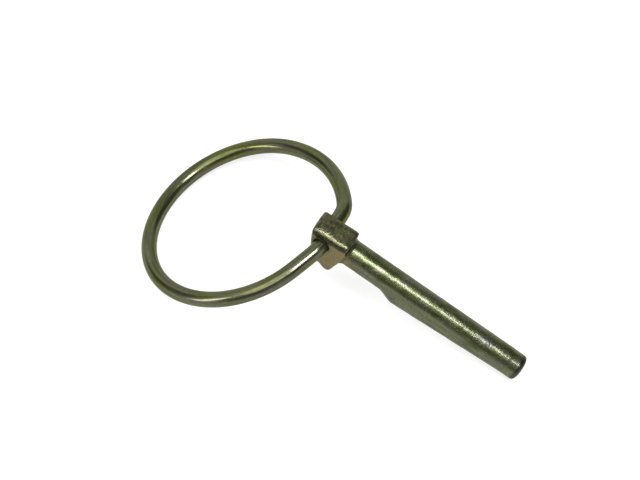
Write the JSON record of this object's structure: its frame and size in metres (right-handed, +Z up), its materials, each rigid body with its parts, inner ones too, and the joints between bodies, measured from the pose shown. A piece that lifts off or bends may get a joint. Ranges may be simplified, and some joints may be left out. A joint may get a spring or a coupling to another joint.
{
  "type": "linch pin",
  "caption": "Forged linch pin whose cross-drilled head carries a snap ring that swings over to close on the shank.",
  "frame": {"origin": "on the surface the object stands on, under the middle of its bounding box", "axes": "+Z up; +X runs level over the shank towards its tip; +Y runs along the cross hole, towards the ring's far end"},
  "size_m": [0.0964, 0.05, 0.0246],
  "materials": {
    "pin_steel": "forged steel, zinc plated with yellow chromate, mottled olive and dark grey",
    "ring_steel": "drawn spring wire, zinc plated with yellow chromate, semi-gloss olive"
  },
  "bodies": {
    "pin": {"pin": "pin_steel"},
    "ring": {"ring": "ring_steel"}
  },
  "joints": [
    {"name": "ring_swing", "type": "hinge", "parent": "pin", "child": "ring", "pos_m": [-0.00268, 0.00205, 0.01983], "axis": [0, 1, 0], "range_deg": [-131.5, 214.5]}
  ]
}
